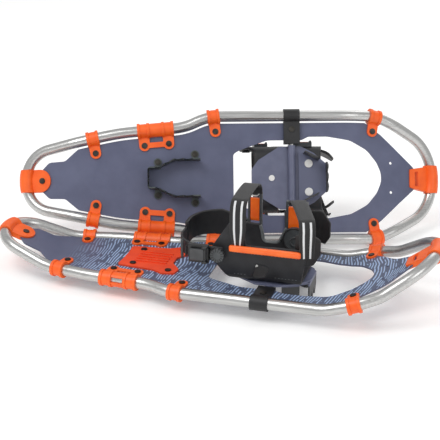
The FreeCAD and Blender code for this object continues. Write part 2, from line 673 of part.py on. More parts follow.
    def build_harness(self):
        """Moulded wrap: a sole under the boot with a high outer wall and a low inner wall."""
        name = self.name("harness")
        top = size(self.plate_top) + size("harness_wall") / 2
        half = size("harness_half") - size("harness_wall") / 2
        high = size("near_lobe_height") + 4
        section = [V(0, -half + 7, high), V(0, -half, top + 26), V(0, -half + 5, top), V(0, half - 5, top),
                   V(0, half, top + 26), V(0, half - 7, high)]
        length = "harness_back + harness_front + 40"
        line = route(name + "_line", section, [90, 14, 14, 90])
        shell = ribbon(name + "_shell", line, xAxis, length, "harness_wall")
        place(shell, "-8")
        low = self.plate_top
        near = [("-harness_back + 4", low), ("-heel_pin_back - 10", "heel_pin_height - 12"),
                ("-heel_pin_back - 12", "heel_pin_height + 6"), ("instep_near - 14", "near_lobe_height"),
                ("instep_near + 2", "near_lobe_height"), ("instep_near + 10", "near_wall_height + 2"),
                ("harness_front - 2", "near_wall_height + 4"), ("harness_front + 4",
                                                                "near_wall_height - 8"),
                ("harness_front - 4", low)]
        far = [("-harness_back + 4", low), ("-heel_pin_back - 10", "heel_pin_height - 12"),
               ("-heel_pin_back - 10", "heel_pin_height + 8"), ("-heel_pin_back + 12",
                                                                "far_wall_height + 4"),
               ("-far_gap_back - 3", "far_wall_height + 2"), ("-far_gap_back + 3", "far_gap_floor"),
               ("-far_gap_front - 3", "far_gap_floor"), ("far_gap_front - 4", "far_wall_height"),
               ("harness_front - 12", "far_wall_height"), ("harness_front", "far_wall_height - 12"),
               ("harness_front - 4", low)]
        near_side = upright(plate(name + "_near_side", near, "80", 3), 0)
        far_side = upright(plate(name + "_far_side", far, "80", 3), 80)
        sides = joined(name + "_sides", [near_side, far_side])
        body = common(name + "_body", shell, sides)
        window_half = [("-window_back", "window_low"), ("-4", "window_low + 6"), ("2", "window_high - 4"),
                       ("-window_back + 6", "window_high")]
        window = upright(plate(name + "_window", window_half, "30", 3), "-30")
        pins = rod(name + "_pin_hole", "heel_pin_radius", 160, "-heel_pin_back", -80, "heel_pin_height",
                   yAxis)
        self.harness_body = body
        self.harness_cuts = [window, pins] + self.sole_rivets

        name = self.name("toe_guard")
        y = size("harness_half - harness_wall - 3")
        level = size("guard_low + guard_high") / 2
        plan = [V(size("harness_front - 12"), y + 0.5, level), V(size("harness_front + 4"), y, level),
                V(size("guard_front"), y - 12, level)]
        line = route(name + "_line", plan, [30])
        band = ribbon(name + "_band", line, zAxis, "guard_high - guard_low", "guard_thick")
        outline = [("0", "guard_low"), ("guard_front - 8", "guard_low"), ("guard_front", "guard_low + 14"),
                   ("guard_front", "guard_high - 14"), ("guard_front - 14", "guard_high"),
                   ("0", "guard_high - 12")]
        side = upright(plate(name + "_side", outline, "120", 5), 90)
        pair = both_sides(name + "_pair", common(name + "_one", band, side))
        self.keep("toe_guards", cut(name + "s", pair, self.harness_body))

    def strap(self, text, near_x, far_x, rise, far_height):
        """Webbing that stands in an arch over the boot, in one upright plane."""
        name = self.name(text)
        near_y, far_y = -size("harness_half + 2.5"), size("harness_half - 1.5")
        start = V(size(near_x), near_y, size("strap_foot"))
        end = V(size(far_x), far_y, size(far_height))
        span = V(end.x - start.x, end.y - start.y, 0)
        top = size(rise) - size("strap_thick") / 2

        def at(share, height, out=0):
            return V(start.x + span.x * share, start.y + span.y * share - out, height)

        shoulder = end.z + 0.4 * (top - end.z)
        points = [start, at(0.0, start.z + 30, 1), at(0.16, top), at(0.84, top - 4), at(1.0, shoulder), end]
        line = route(name + "_line", points, [30, 16, 14, 6])
        across = V(span.y, -span.x, 0).normalize()
        return ribbon(name + "_web", line, across, "strap_width", "strap_thick")

    def buckle(self, text, x, pin_height, lever_width, lever_length, disc):
        """Cam buckle on the inner wall: two cheeks, a pin and a strap bar, with a lever between."""
        name = self.name(text)
        wall_out = "harness_half + 0.6"
        cheek_gap = "%s + 0.8" % lever_width
        outer = "%s + 2 * buckle_thick" % cheek_gap
        top = "%s + %s + 8" % (pin_height, lever_length)
        low_end = "%s - (%s) / 2" % (x, outer)
        back = block(name + "_back", outer, "buckle_thick + 4", 16, low_end, "%s - 4" % wall_out,
                     "%s - 26" % pin_height)
        cheeks = []
        for y in ("%s - (%s) / 2 - buckle_thick" % (x, cheek_gap), "%s + (%s) / 2" % (x, cheek_gap)):
            cheeks.append(block(name + "_cheek", "buckle_thick", "lever_thick",
                                "%s - (%s) + 20" % (top, pin_height),
                                y, wall_out, "%s - 20" % pin_height))
        middle = "%s + lever_thick / 2" % wall_out
        pin = rod(name + "_pin", "pin_radius", outer, low_end, middle, pin_height, xAxis)
        bar = rod(name + "_bar", "pin_radius + 1", outer, low_end, middle, "%s - 3" % top, xAxis)
        things = [back, pin, bar] + cheeks
        if disc:
            # round keeper inside the wall, on a stud through it
            face = "harness_half - harness_wall - 5.5"
            things.append(rod(name + "_disc", "disc_radius", "harness_wall + 1.5", x, face,
                              "%s - 4" % pin_height, yAxis))
        whole = cut(name + "_seated", joined(name + "_whole", things), self.harness_body)
        if disc:
            stud = rod(name + "_stud", "pin_radius + 2", "%s - (%s) + 2" % (wall_out, face), x,
                       "%s + 1" % face, "%s - 17" % pin_height, yAxis)
            whole = joined(name + "_keeper", [whole, stud])
            self.harness_cuts.append(stud)
        self.keep(text, group(name, [whole]))
        lever_text = text.replace("buckle", "lever")
        name = self.name(lever_text)
        outline = [("-4", "-lever_thick / 2"), ("5", "-lever_thick / 2"),
                   (lever_length, "-lever_thick / 6"),
                   (lever_length, "lever_thick / 2"), ("0", "lever_thick / 2"), ("-4", "2")]
        shape = plate(name + "_shape", outline, lever_width)
        shape.Placement = Placement(V(size(x) - size(lever_width) / 2, size(middle), size(pin_height)),
                                    Rotation(zAxis, yAxis, xAxis, "ZXY"))
        hole = rod(name + "_hole", "pin_radius + run_clearance", "%s + 4" % lever_width,
                   "%s - (%s) / 2 - 2" % (x, lever_width), middle, pin_height, xAxis)
        self.keep(lever_text, cut(name, shape, hole))
        return whole

    def build_upper(self):
        instep = self.strap("instep_strap", "instep_near", "instep_far", "instep_rise",
                            "instep_pin_height + instep_lever_length + 8")
        toe = self.strap("toe_strap", "toe_near", "toe_far", "toe_rise",
                         "toe_pin_height + toe_lever_length + 4")
        instep_buckle = self.buckle("instep_buckle", "instep_far", "instep_pin_height",
                                    "instep_lever_width",
                                    "instep_lever_length", False)
        toe_buckle = self.buckle("toe_buckle", "toe_far", "toe_pin_height", "toe_lever_width",
                                 "toe_lever_length", True)
        name = self.name("pull_bar")
        x, y = "instep_near - 11", "-harness_half - 4 - bar_thick"
        bar = block(name + "_grip", "bar_length", "bar_thick", "bar_height", x, y, "strap_foot")
        rounded = doc.addObject("Part::Fillet", name + "_rounded")
        rounded.Base = bar
        doc.recompute()
        rounded.Edges = [(number + 1, 2.4, 2.4) for number in range(len(bar.Shape.Edges))]
        # studs through the strap ends hold the bar to the outer wall
        studs = [rod(name + "_stud", 2, "bar_thick + 6.5", stud_x, "%s + 2" % y, "strap_foot + 2.5", yAxis)
                 for stud_x in ("instep_near", "%s + bar_length - 5" % x)]
        webs = joined(name + "_webs", [instep, toe])
        seat = cut(name + "_seat", rounded, webs)
        self.keep("pull_bar", joined(name, [seat] + studs))
        for text, web, catch in (("instep_strap", instep, instep_buckle), ("toe_strap", toe, toe_buckle)):
            name = self.name(text)
            fitted = cut(name + "_fitted", web, catch)
            self.keep(text, cut(name, fitted, joined(name + "_holes", studs)))
        name = self.name("harness")
        self.keep("harness", cut(name, self.harness_body, joined(name + "_cuts",
                                                                 self.harness_cuts + studs)))

    def build_heel_loop(self):
        level = size("heel_pin_height")
        half, back = size("harness_half + loop_gap"), -size("loop_back")
        pin_x = -size("heel_pin_back")
        corner_radius = size("loop_radius")
        cup_line = [V(pin_x + 6, half, level), V(pin_x - 20, half, level), V(back, half - 8, level),
                    V(back, 1, level)]
        strap_line = [V(pin_x + 6, -half, level), V(pin_x - 20, -half, level), V(back, -half + 8, level),
                      V(back, 0, level)]
        name = self.name("heel_cup")
        line = route(name + "_line", cup_line, [60, corner_radius])
        cup = ribbon(name + "_band", line, zAxis, "cup_height", "cup_thick")
        outline = [("-loop_back - 10", "heel_pin_height - cup_height / 2 + 4"),
                   ("-heel_pin_back - 26", "heel_pin_height - cup_height / 2"),
                   ("-heel_pin_back + 8", "heel_pin_height - 9"), ("-heel_pin_back + 8",
                                                                   "heel_pin_height + 9"),
                   ("-heel_pin_back - 26", "heel_pin_height + cup_height / 2"),
                   ("-loop_back - 10", "heel_pin_height + cup_height / 2 - 2")]
        side = upright(plate(name + "_side", outline, "90"), 80)
        trimmed = common(name + "_trimmed", cup, side)
        hole = rod(name + "_hole", "heel_pin_radius + run_clearance", 160, "-heel_pin_back", -80,
                   "heel_pin_height", yAxis)
        self.keep("heel_cup", cut(name, trimmed, hole))
        name = self.name("heel_strap")
        line = route(name + "_line", strap_line, [60, corner_radius])
        band = ribbon(name + "_band", line, zAxis, "heel_strap_height", "heel_strap_thick")
        self.keep("heel_strap", cut(name, band, hole))
        name = self.name("heel_pivot")
        outside = "harness_half + loop_gap + cup_thick / 2 + 0.3"
        pin = rod(name + "_pin", "heel_pin_radius", "%s - harness_half + harness_wall + 4" % outside,
                  "-heel_pin_back", "harness_half - harness_wall - 4", "heel_pin_height", yAxis)
        knob = rod(name + "_knob", "knob_radius", 5, "-heel_pin_back", outside, "heel_pin_height", yAxis)
        head = rod(name + "_head", "heel_pin_radius + 3", 1.5, "-heel_pin_back",
                   "harness_half - harness_wall - 4",
                   "heel_pin_height", yAxis)
        one = joined(name + "_one", [pin, knob, head])
        self.keep("heel_pivots", both_sides(name + "s", one))
        name = self.name("ratchet_base")
        y = "-harness_half - loop_gap - heel_strap_thick / 2 - ratchet_thick"
        x = "-heel_pin_back - 12 - ratchet_length"
        base = block(name + "_base", "ratchet_length", "ratchet_thick", "ratchet_height", x, y,
                     "heel_pin_height - ratchet_height / 2")
        ear_height = 3
        ears = [block(name + "_ear", 7, 7, ear_height, "%s + ratchet_length - 8" % x, "%s - 6" % y,
                      "heel_pin_height %s" % shift) for shift in ("+ 9", "- 12")]
        pin = rod(name + "_pin", "pin_radius", 22, "%s + ratchet_length - 4.5" % x, "%s - 3" % y,
                  "heel_pin_height - 11")
        self.keep("ratchet_base", joined(name, [base, pin] + ears))
        name = self.name("ratchet_lever")
        tip = "%s + ratchet_length - 2.7 - ratchet_lever_length" % x
        lever = block(name + "_grip", "ratchet_lever_length", 4, 16, tip, "%s - 5" % y,
                      "heel_pin_height - 8")
        hole = rod(name + "_hole", "pin_radius + run_clearance", 22, "%s + ratchet_length - 4.5" % x,
                   "%s - 3" % y, "heel_pin_height - 11")
        self.keep("ratchet_lever", cut(name, lever, hole))

    def build(self):
        self.build_frame()
        self.build_deck_blank()
        self.build_clips()
        self.build_end_clips()
        self.build_heel_crampon()
        self.build_pivot_straps()
        self.build_deck()
        self.keep("deck_rivets", group(self.name("deck_rivets"), self.rivets))
        self.build_foot_plate()
        self.build_harness()
        self.build_upper()
        self.build_heel_loop()
        doc.recompute()
        return self


def whole_box(things):
    box = FreeCAD.BoundBox()
    for thing in things:
        box.add(thing.Shape.optimalBoundingBox(False))
    return box


right = Shoe("right").build()
left_master = Shoe("left_pattern").build()
left_nodes = {}
for text, thing in left_master.nodes.items():
    mirrored = doc.addObject("Part::Mirroring", "left_" + text)
    mirrored.Source = thing
    mirrored.Normal = yAxis
    mirrored.Label = "left_" + text
    left_nodes[text] = mirrored
doc.recompute()

# The left shoe leans back on the edge of its frame; both are set down on Z = 0 and the
# origin goes under the middle of the pair.
lean = Rotation(xAxis, -90 - size("left_lean"))
yaw = Rotation(zAxis, size("left_yaw"))
left_pose = Placement(V(size("left_ahead"), size("left_behind"), 0), yaw.multiply(lean))
for thing in left_nodes.values():
    thing.Placement = left_pose
doc.recompute()
left_low = whole_box(left_nodes.values()).ZMin
right_low = whole_box(right.nodes.values()).ZMin
for thing in left_nodes.values():
    thing.Placement.Base.z = -left_low
for thing in right.nodes.values():
    thing.Placement = Placement(V(0, 0, -right_low), Rotation()).multiply(thing.Placement)
doc.recompute()
pair = list(right.nodes.values()) + list(left_nodes.values())
box = whole_box(pair)
centring = Placement(V(-box.Center.x, -box.Center.y, 0), Rotation())
for thing in pair:
    thing.Placement = centring.multiply(thing.Placement)
doc.recompute()

for thing in doc.Objects:
    if "Invalid" in thing.State or "Error" in thing.State:
        raise RuntimeError("%s is %s" % (thing.Name, thing.State))
for thing in pair:
    if thing.Shape.isNull() or not thing.Shape.isValid():
        raise RuntimeError("%s has no valid shape" % thing.Label)

os.makedirs("parts", exist_ok=True)
for thing in pair:
    thing.Shape.exportStep("parts/%s.step" % thing.Label)
print("pivot axis of the right shoe at", centring.Base.x, centring.Base.y, size("tube_radius") - right_low)
print("left shoe's pivot at", left_nodes["deck"].Placement)
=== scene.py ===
import json
import math
import random
import bpy
from mathutils import Matrix, Vector


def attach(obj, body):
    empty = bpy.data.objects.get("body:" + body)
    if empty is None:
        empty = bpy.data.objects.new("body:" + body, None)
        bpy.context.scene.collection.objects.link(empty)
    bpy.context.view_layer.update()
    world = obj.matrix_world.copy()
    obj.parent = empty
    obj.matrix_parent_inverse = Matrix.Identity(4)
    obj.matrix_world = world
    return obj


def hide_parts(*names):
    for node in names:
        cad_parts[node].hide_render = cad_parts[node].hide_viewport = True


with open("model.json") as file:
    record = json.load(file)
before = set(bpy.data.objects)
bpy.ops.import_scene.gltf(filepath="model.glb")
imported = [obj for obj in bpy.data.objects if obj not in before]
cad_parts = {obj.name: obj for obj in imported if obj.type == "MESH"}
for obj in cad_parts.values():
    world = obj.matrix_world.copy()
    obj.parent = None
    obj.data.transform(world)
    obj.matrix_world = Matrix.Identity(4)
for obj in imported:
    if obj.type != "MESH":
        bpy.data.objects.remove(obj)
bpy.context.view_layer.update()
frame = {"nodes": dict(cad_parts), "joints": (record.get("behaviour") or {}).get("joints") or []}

nodes = frame["nodes"]
joints = {joint["name"]: joint for joint in frame["joints"]}
mm = 0.001
sides = ("right", "left")
print("frame loaded:", len(nodes), "nodes")

# Each shoe has its own place: X to the toe, Y to the wearer's left, Z off the deck, in
# millimetres from the middle of the binding's axle, level with the underside of the tube.
axleHeight = 8


def shoePlace(side):
    turn = 1 if side == "right" else -1
    toToe = Vector(joints[side + "_instep_lever_hinge"]["axis"]) * -turn
    toLeft = Vector(joints[side + "_binding_pivot"]["axis"]) * turn
    offDeck = Vector(joints[side + "_ratchet_hinge"]["axis"]) * turn
    origin = Vector(joints[side + "_binding_pivot"]["pos_m"]) - offDeck * axleHeight * mm
    axes = Matrix((toToe, toLeft, offDeck)).transposed().to_4x4()
    return Matrix.Translation(origin) @ axes @ Matrix.Scale(mm, 4)


places = {side: shoePlace(side) for side in sides}


def startFinish(name):
    material = bpy.data.materials.new(name)
    material.use_nodes = True
    tree = material.node_tree
    return material, tree, tree.nodes["Principled BSDF"]


def addNode(tree, kind, values=None, **settings):
    node = tree.nodes.new(kind)
    for key, value in settings.items():
        setattr(node, key, value)
    for key, value in (values or {}).items():
        node.inputs[key].default_value = value
    return node


def surfaceNoise(tree, scale, detail=4, stretch=(1, 1, 1)):
    place = addNode(tree, "ShaderNodeTexCoord")
    spread = addNode(tree, "ShaderNodeMapping", {"Scale": stretch})
    grain = addNode(tree, "ShaderNodeTexNoise", {"Scale": scale, "Detail": detail})
    tree.links.new(place.outputs["Object"], spread.inputs["Vector"])
    tree.links.new(spread.outputs["Vector"], grain.inputs["Vector"])
    return grain.outputs["Fac"]


def twoTones(tree, factor, dark, light, low=0.35, high=0.65):
    ramp = addNode(tree, "ShaderNodeValToRGB")
    ramp.color_ramp.elements[0].position = low
    ramp.color_ramp.elements[0].color = (*dark, 1)
    ramp.color_ramp.elements[1].position = high
    ramp.color_ramp.elements[1].color = (*light, 1)
    tree.links.new(factor, ramp.inputs["Fac"])
    return ramp.outputs["Color"]


def roughBetween(tree, factor, low, high, shader):
    spread = addNode(tree, "ShaderNodeMapRange", {"To Min": low, "To Max": high})
    tree.links.new(factor, spread.inputs["Value"])
    tree.links.new(spread.outputs["Result"], shader.inputs["Roughness"])


def reliefFrom(tree, height, depth, shader, edge=0):
    bump = addNode(tree, "ShaderNodeBump", {"Strength": 0.6, "Distance": depth * mm})
    tree.links.new(height, bump.inputs["Height"])
    if edge:
        softEdge = addNode(tree, "ShaderNodeBevel", {"Radius": edge * mm}, samples=4)
        tree.links.new(softEdge.outputs["Normal"], bump.inputs["Normal"])
    tree.links.new(bump.outputs["Normal"], shader.inputs["Normal"])


def solidFinish(name, look):
    # moulded, cast and coated parts: two close tones, uneven gloss, fine grain, softened edges
    material, tree, shader = startFinish(name)
    tone = surfaceNoise(tree, look.get("patch", 60), 5)
    grain = surfaceNoise(tree, look["grain"], 3)
    tree.links.new(twoTones(tree, tone, look["dark"], look["light"]), shader.inputs["Base Color"])
    roughBetween(tree, tone, look["rough"][0], look["rough"][1], shader)
    reliefFrom(tree, grain, look["depth"], shader, look.get("edge", 0))
    shader.inputs["Metallic"].default_value = look.get("metal", 0)
    shader.inputs["Specular IOR Level"].default_value = look.get("gloss", 0.5)
    if "coat" in look:
        shader.inputs["Coat Weight"].default_value = look["coat"]
        shader.inputs["Coat Roughness"].default_value = 0.25
    return material


solidLooks = {
    "orangeMoulding": {"dark": (0.88, 0.11, 0.006), "light": (0.97, 0.14, 0.01),
                       "rough": (0.36, 0.5), "grain": 900, "depth": 0.1, "edge": 0.7,
                       "gloss": 0.5},
    "orangePad": {"dark": (0.8, 0.055, 0.008), "light": (0.88, 0.072, 0.01),
                  "rough": (0.42, 0.55), "grain": 700, "depth": 0.12, "edge": 0.6},
    "orangeGrip": {"dark": (0.92, 0.125, 0.006), "light": (0.99, 0.165, 0.012),
                   "rough": (0.26, 0.38), "grain": 500, "depth": 0.08, "edge": 0.6,
                   "coat": 0.2},
    "rivetSteel": {"dark": (0.035, 0.033, 0.03), "light": (0.085, 0.08, 0.072),
                   "rough": (0.3, 0.45), "grain": 1500, "depth": 0.04, "edge": 0.4, "metal": 1},
    "cramponAlloy": {"dark": (0.065, 0.078, 0.08), "light": (0.115, 0.13, 0.128),
                     "rough": (0.38, 0.55), "grain": 1100, "depth": 0.08, "edge": 0.4,
                     "metal": 0.75},
    "blackStrap": {"dark": (0.009, 0.009, 0.01), "light": (0.018, 0.018, 0.02),
                   "rough": (0.42, 0.58), "grain": 800, "depth": 0.12, "edge": 0.8},
    "axleSteel": {"dark": (0.42, 0.42, 0.42), "light": (0.55, 0.55, 0.54),
                  "rough": (0.22, 0.32), "grain": 1600, "depth": 0.02, "metal": 1},
    "plateEnamel": {"dark": (0.112, 0.124, 0.198), "light": (0.134, 0.147, 0.228),
                    "rough": (0.34, 0.48), "grain": 1500, "depth": 0.05, "edge": 0.6,
                    "coat": 0.15},
    # white finish: the real colour of the rivet washers, and a painted highlight where it colours
    # the instep loop
    "washerWhiteAndPaintedHighlight": {"dark": (0.74, 0.74, 0.72), "light": (0.85, 0.85, 0.84),
                    "rough": (0.4, 0.5), "grain": 900, "depth": 0.04, "edge": 0.4},
    "charcoalRubber": {"dark": (0.014, 0.014, 0.016), "light": (0.024, 0.024, 0.027),
                       "rough": (0.48, 0.64), "grain": 1200, "depth": 0.2},
    "blackRubber": {"dark": (0.007, 0.007, 0.008), "light": (0.014, 0.014, 0.015),
                    "rough": (0.42, 0.6), "grain": 1000, "depth": 0.16},
    "buckleGrey": {"dark": (0.05, 0.056, 0.06), "light": (0.085, 0.092, 0.097),
                   "rough": (0.36, 0.5), "grain": 900, "depth": 0.08, "edge": 0.5},
    "rimGrey": {"dark": (0.13, 0.145, 0.15), "light": (0.2, 0.215, 0.22), "rough": (0.4, 0.5),
                "grain": 700, "depth": 0.08},
    "blackPlastic": {"dark": (0.01, 0.01, 0.011), "light": (0.02, 0.02, 0.022),
                     "rough": (0.3, 0.44), "grain": 900, "depth": 0.06, "edge": 0.5},
    "leverGrey": {"dark": (0.04, 0.042, 0.045), "light": (0.065, 0.068, 0.072),
                  "rough": (0.34, 0.46), "grain": 900, "depth": 0.06, "edge": 0.5},
}
finishes = {name: solidFinish(name, look) for name, look in solidLooks.items()}


def shoeCoordinate(tree, source, side, axis):
    # how far a point or a direction runs along one of the shoe's own axes
    direction = (places[side].to_3x3() @ Vector(axis)).normalized()
    dot = addNode(tree, "ShaderNodeVectorMath", operation="DOT_PRODUCT")
    dot.inputs[1].default_value = direction
    tree.links.new(source, dot.inputs[0])
    return dot.outputs["Value"], direction


def sums(tree, operation, first, second, third=None):
    node = addNode(tree, "ShaderNodeMath", operation=operation)
    for socket, value in zip(node.inputs, (first, second, third)):
        if value is None:
            continue
        if isinstance(value, (int, float)):
            socket.default_value = value
        else:
            tree.links.new(value, socket)
    return node.outputs["Value"]


clawLook = {"enamel": (0.122, 0.135, 0.212), "steel": (0.045, 0.046, 0.048), "edge": 6.5,
            "blend": 1.5, "rough": (0.38, 0.52)}


def clawFinish(side):
    # enamelled plate over the foot plate, with bare dark claws bent down from its edges
    look = clawLook
    material, tree, shader = startFinish("clawPlate_" + side)
    place = addNode(tree, "ShaderNodeTexCoord").outputs["Object"]
    height, heightAxis = shoeCoordinate(tree, place, side, (0, 0, 1))
    aboveClaws = heightAxis.dot(places[side].translation) + look["edge"] * mm
    share = sums(tree, "DIVIDE", sums(tree, "SUBTRACT", height, aboveClaws), look["blend"] * mm)
    share.node.use_clamp = True
    mixed = addNode(tree, "ShaderNodeMix", data_type="RGBA")
    mixed.inputs["A"].default_value = (*look["steel"], 1)
    mixed.inputs["B"].default_value = (*look["enamel"], 1)
    tree.links.new(share, mixed.inputs["Factor"])
    tree.links.new(mixed.outputs["Result"], shader.inputs["Base Color"])
    tone = surfaceNoise(tree, 60, 5)
    roughBetween(tree, tone, look["rough"][0], look["rough"][1], shader)
    reliefFrom(tree, surfaceNoise(tree, 1100, 3), 0.08, shader, 0.4)
    return material


tubeLook = {"dark": (0.47, 0.47, 0.46), "light": (0.60, 0.60, 0.59), "rough": (0.24, 0.36),
            "grain": (26, 900, 900)}


def tubeFinish(side):
    # drawn tube with a satin gloss and faint streaks along its length
    material, tree, shader = startFinish("satinTube_" + side)
    place = addNode(tree, "ShaderNodeTexCoord").outputs["Object"]
    streaks = addNode(tree, "ShaderNodeCombineXYZ")
    for index, axis in enumerate(((1, 0, 0), (0, 1, 0), (0, 0, 1))):
        value, _ = shoeCoordinate(tree, place, side, axis)
        tree.links.new(sums(tree, "MULTIPLY", value, tubeLook["grain"][index]),
                       streaks.inputs[index])
    grain = addNode(tree, "ShaderNodeTexNoise", {"Scale": 1, "Detail": 3})
    tree.links.new(streaks.outputs["Vector"], grain.inputs["Vector"])
    tone = twoTones(tree, grain.outputs["Fac"], tubeLook["dark"], tubeLook["light"])
    tree.links.new(tone, shader.inputs["Base Color"])
    roughBetween(tree, grain.outputs["Fac"], tubeLook["rough"][0], tubeLook["rough"][1], shader)
    reliefFrom(tree, grain.outputs["Fac"], 0.02, shader)
    shader.inputs["Metallic"].default_value = 1
    return material


deckLook = {"dark": (0.088, 0.099, 0.168), "light": (0.106, 0.118, 0.194),
            "printLine": (0.36, 0.48, 0.70), "printGround": (0.072, 0.092, 0.158),
            "linePitch": 4.2, "lineShare": 0.25, "breakShare": 0.44, "breaks": (0.13, 0.055, 1),
            "printFrom": -300, "printFade": 60, "rough": (0.4, 0.55), "warp": 22, "drift": 0.016,
            "bend": 0.010, "bendPower": 1.6, "topFacing": 0.6}


def deckFinish(side):
    # slate sheet with a leathery underside; the top is printed with short waved lines
    look = deckLook
    material, tree, shader = startFinish("deckSheet_" + side)
    coordinates = addNode(tree, "ShaderNodeTexCoord")
    place = coordinates.outputs["Object"]
    origin = places[side].translation
    along, alongAxis = shoeCoordinate(tree, place, side, (1, 0, 0))
    across, acrossAxis = shoeCoordinate(tree, place, side, (0, 1, 0))
    alongMm = sums(tree, "MULTIPLY", sums(tree, "SUBTRACT", along, alongAxis.dot(origin)), 1000)
    acrossMm = sums(tree, "MULTIPLY", sums(tree, "SUBTRACT", across, acrossAxis.dot(origin)), 1000)
    facing, _ = shoeCoordinate(tree, coordinates.outputs["Normal"], side, (0, 0, 1))
    flat = addNode(tree, "ShaderNodeCombineXYZ")
    tree.links.new(alongMm, flat.inputs[0])
    tree.links.new(acrossMm, flat.inputs[1])
    drift = addNode(tree, "ShaderNodeTexNoise",
                    {"Scale": look["drift"], "Detail": 2, "Roughness": 0.4})
    breaks = addNode(tree, "ShaderNodeTexNoise", {"Scale": 1, "Detail": 2})
    stretched = addNode(tree, "ShaderNodeMapping", {"Scale": look["breaks"]})
    tree.links.new(flat.outputs["Vector"], drift.inputs["Vector"])
    tree.links.new(flat.outputs["Vector"], stretched.inputs["Vector"])
    tree.links.new(stretched.outputs["Vector"], breaks.inputs["Vector"])
    offMiddle = sums(tree, "POWER", sums(tree, "ABSOLUTE", acrossMm, None), look["bendPower"])
    bend = sums(tree, "MULTIPLY", offMiddle, look["bend"])
    warp = sums(tree, "MULTIPLY", drift.outputs["Fac"], look["warp"])
    phase = sums(tree, "MULTIPLY", sums(tree, "ADD", sums(tree, "ADD", alongMm, bend), warp),
                 2 * math.pi / look["linePitch"])
    wave = sums(tree, "SINE", phase, None)
    lines = sums(tree, "MULTIPLY", sums(tree, "GREATER_THAN", wave, look["lineShare"]),
                 sums(tree, "GREATER_THAN", breaks.outputs["Fac"], look["breakShare"]))
    fade = sums(tree, "DIVIDE", sums(tree, "SUBTRACT", alongMm, look["printFrom"]),
                look["printFade"])
    fade.node.use_clamp = True
    printed = sums(tree, "MULTIPLY", sums(tree, "GREATER_THAN", facing, look["topFacing"]), fade)
    tone = surfaceNoise(tree, 35, 5)
    ground = twoTones(tree, tone, look["dark"], look["light"])
    inked = addNode(tree, "ShaderNodeMix", data_type="RGBA")
    inked.inputs["A"].default_value = (*look["printGround"], 1)
    inked.inputs["B"].default_value = (*look["printLine"], 1)
    tree.links.new(lines, inked.inputs["Factor"])
    whole = addNode(tree, "ShaderNodeMix", data_type="RGBA")
    tree.links.new(printed, whole.inputs["Factor"])
    tree.links.new(ground, whole.inputs["A"])
    tree.links.new(inked.outputs["Result"], whole.inputs["B"])
    tree.links.new(whole.outputs["Result"], shader.inputs["Base Color"])
    roughBetween(tree, tone, look["rough"][0], look["rough"][1], shader)
    reliefFrom(tree, surfaceNoise(tree, 900, 4), 0.16, shader)
    return material


def weaveFinish(name, look):
    # flat webbing: crossing yarns from two fine waves
    material, tree, shader = startFinish(name)
    place = addNode(tree, "ShaderNodeTexCoord").outputs["UV"]
    warp = addNode(tree, "ShaderNodeTexWave", {"Scale": look["yarns"], "Distortion": 0.4},
                   bands_direction="X")
    weft = addNode(tree, "ShaderNodeTexWave", {"Scale": look["yarns"] * 0.7, "Distortion": 0.4},
                   bands_direction="Y")
    tree.links.new(place, warp.inputs["Vector"])
    tree.links.new(place, weft.inputs["Vector"])
    weave = sums(tree, "MULTIPLY", warp.outputs["Fac"], weft.outputs["Fac"])
    tree.links.new(twoTones(tree, weave, look["dark"], look["light"], 0.1, 0.9),
                   shader.inputs["Base Color"])
    roughBetween(tree, weave, look["rough"][0], look["rough"][1], shader)
    reliefFrom(tree, weave, look["depth"], shader)
    shader.inputs["Sheen Weight"].default_value = look["sheen"]
    return material


weaveLooks = {
    "blackWebbing": {"dark": (0.005, 0.005, 0.006), "light": (0.018, 0.018, 0.02),
                     "rough": (0.6, 0.8), "depth": 0.35, "yarns": 0.35, "sheen": 0.15},
    "whiteYarn": {"dark": (0.66, 0.67, 0.68), "light": (0.86, 0.87, 0.88), "rough": (0.4, 0.55),
                  "depth": 0.25, "yarns": 0.35, "sheen": 0.1},
}
for name, look in weaveLooks.items():
    finishes[name] = weaveFinish(name, look)
for side in sides:
    finishes["tube_" + side] = tubeFinish(side)
    finishes["deck_" + side] = deckFinish(side)
    finishes["claws_" + side] = clawFinish(side)

nodeFinishes = {
    "frame_tube": "tube_", "deck": "deck_", "tail_clip": "orangeMoulding",
    "toe_clip": "orangeMoulding", "rear_clips": "orangeMoulding",
    "double_clips": "orangeMoulding", "waist_clips": "orangeMoulding",
    "toe_side_clips": "orangeMoulding", "deck_rivets": "rivetSteel",
    "heel_crampon": "cramponAlloy", "heel_pad": "orangePad", "pivot_straps": "blackStrap",
    "pivot_axle": "axleSteel", "foot_plate": "plateEnamel", "toe_crampon": "claws_",
    "binding_rivets": "washerWhiteAndPaintedHighlight", "harness": "charcoalRubber", "toe_guards": "blackRubber",
    "instep_strap": "blackWebbing", "toe_strap": "blackWebbing", "pull_bar": "orangeGrip",
    "instep_buckle": "buckleGrey", "toe_buckle": "buckleGrey", "heel_pivots": "buckleGrey",
    "instep_lever": "orangeGrip", "toe_lever": "orangeGrip", "heel_cup": "blackRubber",
    "heel_strap": "charcoalRubber", "ratchet_base": "blackPlastic",
    "ratchet_lever": "leverGrey",
}
for side in sides:
    for text, finishName in nodeFinishes.items():
        node = nodes[side + "_" + text]
        material = finishes[finishName + side if finishName.endswith("_") else finishName]
        node.data.materials.clear()
        node.data.materials.append(material)
print("finishes on the CAD nodes")


def softCorners(points, passes=3):
    # cuts the corners of a line again and again, and keeps its two ends
    line = [Vector(point) for point in points]
    for _ in range(passes):
        fresh = [line[0]]
        for start, end in zip(line, line[1:]):
            fresh += [start.lerp(end, 0.25), start.lerp(end, 0.75)]
        line = fresh + [line[-1]]
    return line


